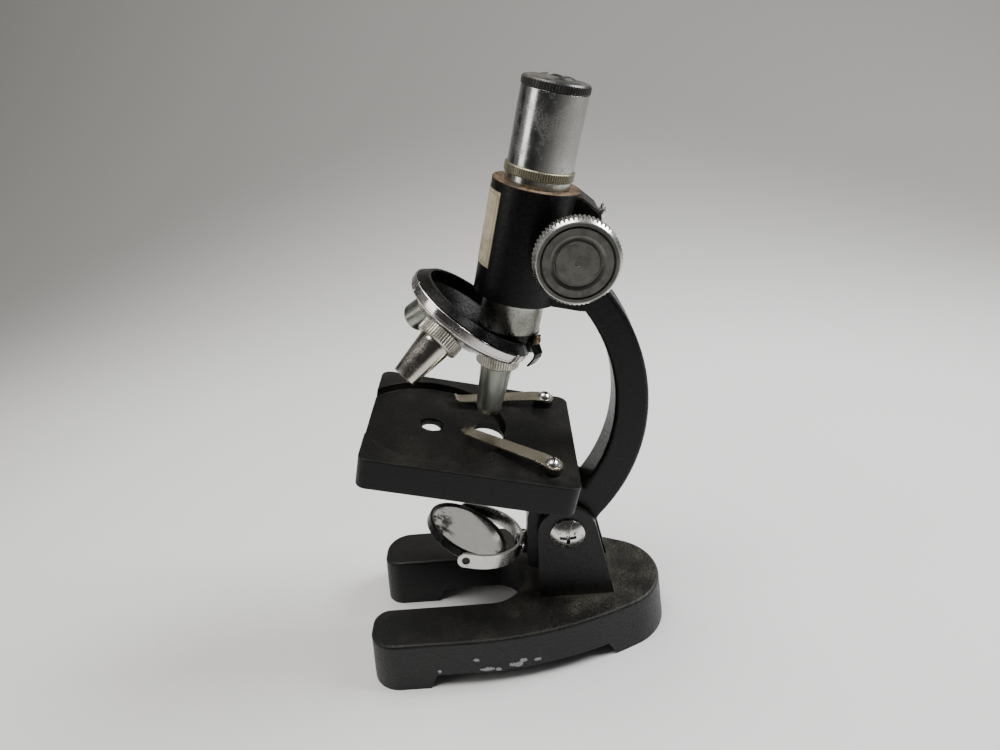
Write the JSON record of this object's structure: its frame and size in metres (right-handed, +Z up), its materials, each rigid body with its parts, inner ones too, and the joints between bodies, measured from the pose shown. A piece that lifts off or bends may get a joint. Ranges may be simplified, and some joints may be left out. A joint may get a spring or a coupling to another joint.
{
  "type": "compound microscope",
  "caption": "Small inclinable student microscope in black enamel and bright plating, with a horseshoe foot, turret nosepiece and tilting mirror.",
  "frame": {"origin": "middle of the bounding box on the surface the foot stands on", "axes": "+Z up, -Y towards the open end of the horseshoe foot (the front), +X towards the focus knob"},
  "size_m": [0.0666, 0.1134, 0.2048],
  "materials": {
    "black_enamel": "satin black stoving enamel, dusty and chipped at the edges",
    "nickel_tube": "nickel-plated tube, brushed and slightly tarnished",
    "nickel_dome": "bright plating with light tarnish",
    "nickel_objective": "bright plating, spotted",
    "nickel_knurl": "bright knurled plating",
    "nickel_knob": "bright plating, turned rings, light stains",
    "tarnished_ring": "knurled plating worn to tarnished metal",
    "nickel_clip": "yellowed plated spring steel",
    "nickel_strap": "plated steel strip",
    "nickel_screw": "plated screws",
    "rusty_screw": "rusted screw",
    "steel_shaft": "plain steel",
    "brass_shoe": "plain brass",
    "black_plastic": "black moulded plastic",
    "black_leaf": "blackened metal",
    "aged_paper": "aged blank paper label under varnish",
    "clear_glass": "clear lens glass",
    "mirror_silver": "silvered glass with dirty spots"
  },
  "bodies": {
    "base": {"base_casting": "black_enamel", "pivot_screw": "nickel_screw", "pivot_nut": "nickel_screw", "pivot_washers": "nickel_screw"},
    "arm": {"arm_casting": "black_enamel", "tension_shoe": "brass_shoe", "tension_screw": "nickel_screw", "stage_plate": "black_enamel", "label": "aged_paper", "clip_screws": "nickel_screw", "stage_screws": "nickel_screw", "strap_screw": "nickel_screw", "strap_washer": "nickel_screw", "pinion_bush": "brass_shoe"},
    "tube": {"focus_tube": "nickel_tube", "rack": "brass_shoe", "nosepiece_dish": "black_enamel", "click_spring": "black_leaf", "click_screw": "rusty_screw", "turret_screw": "nickel_screw", "tube_baffle": "black_leaf"},
    "knob": {"focus_knob": "nickel_knob", "pinion_shaft": "steel_shaft", "pinion_retainer": "nickel_screw"},
    "eyepiece": {"eyepiece_barrel": "nickel_tube", "eyepiece_ring": "tarnished_ring", "eyepiece_cap": "black_plastic", "eye_lens": "clear_glass", "eye_lens_ring": "black_leaf", "eyepiece_stop": "black_leaf", "field_lens": "clear_glass", "field_lens_ring": "black_leaf"},
    "turret": {"turret_dome": "nickel_dome", "objective_high_barrel": "nickel_objective", "objective_high_collar": "nickel_knurl", "objective_high_lens": "clear_glass", "objective_medium_barrel": "nickel_objective", "objective_medium_collar": "nickel_knurl", "objective_medium_lens": "clear_glass", "objective_low_barrel": "nickel_objective", "objective_low_collar": "nickel_knurl", "objective_low_lens": "clear_glass"},
    "clip_near": {"clip_near": "nickel_clip"},
    "clip_far": {"clip_far": "nickel_clip"},
    "strap": {"mirror_strap": "nickel_strap"},
    "mirror": {"mirror_cell": "black_enamel", "mirror_glass": "mirror_silver", "mirror_pins": "nickel_screw"}
  },
  "joints": [
    {"name": "inclination", "type": "hinge", "parent": "base", "child": "arm", "pos_m": [0, 0.02018, 0.0487], "axis": [-1, 0, 0], "range_deg": [-15, 45]},
    {"name": "focus_slide", "type": "slide", "parent": "arm", "child": "tube", "axis": [0, 0.2605, 0.9655], "range_m": [-0.0022, 0.0075]},
    {"name": "focus_turn", "type": "hinge", "parent": "arm", "child": "knob", "pos_m": [0, 0.02676, 0.1564], "axis": [1, 0, 0], "range_deg": [-143.5, 42.1]},
    {"name": "eyepiece_draw", "type": "slide", "parent": "tube", "child": "eyepiece", "axis": [0, 0.2605, 0.9655], "range_m": [0, 0.011]},
    {"name": "turret_turn", "type": "hinge", "parent": "tube", "child": "turret", "pos_m": [0.00237, -0.01254, 0.12664], "axis": [-0.0617, 0.6571, 0.7512], "continuous": true},
    {"name": "clip_near_turn", "type": "hinge", "parent": "arm", "child": "clip_near", "pos_m": [0.0225, 0.01611, 0.08812], "axis": [0, 0.2605, 0.9655], "range_deg": [-4, 50]},
    {"name": "clip_far_turn", "type": "hinge", "parent": "arm", "child": "clip_far", "pos_m": [-0.0225, 0.01611, 0.08812], "axis": [0, 0.2605, 0.9655], "range_deg": [-30, 18]},
    {"name": "strap_roll", "type": "hinge", "parent": "arm", "child": "strap", "pos_m": [0, 0.00153, 0.03871], "axis": [0, 0.9655, -0.2605], "range_deg": [-60, 60]},
    {"name": "mirror_tilt", "type": "hinge", "parent": "strap", "child": "mirror", "pos_m": [0, -0.01778, 0.04392], "axis": [0.9912, 0.0345, 0.1277], "continuous": true}
  ],
  "couplings": [
    {"joint": "focus_turn", "follows": "focus_slide", "rad_per_m": -333.33}
  ]
}
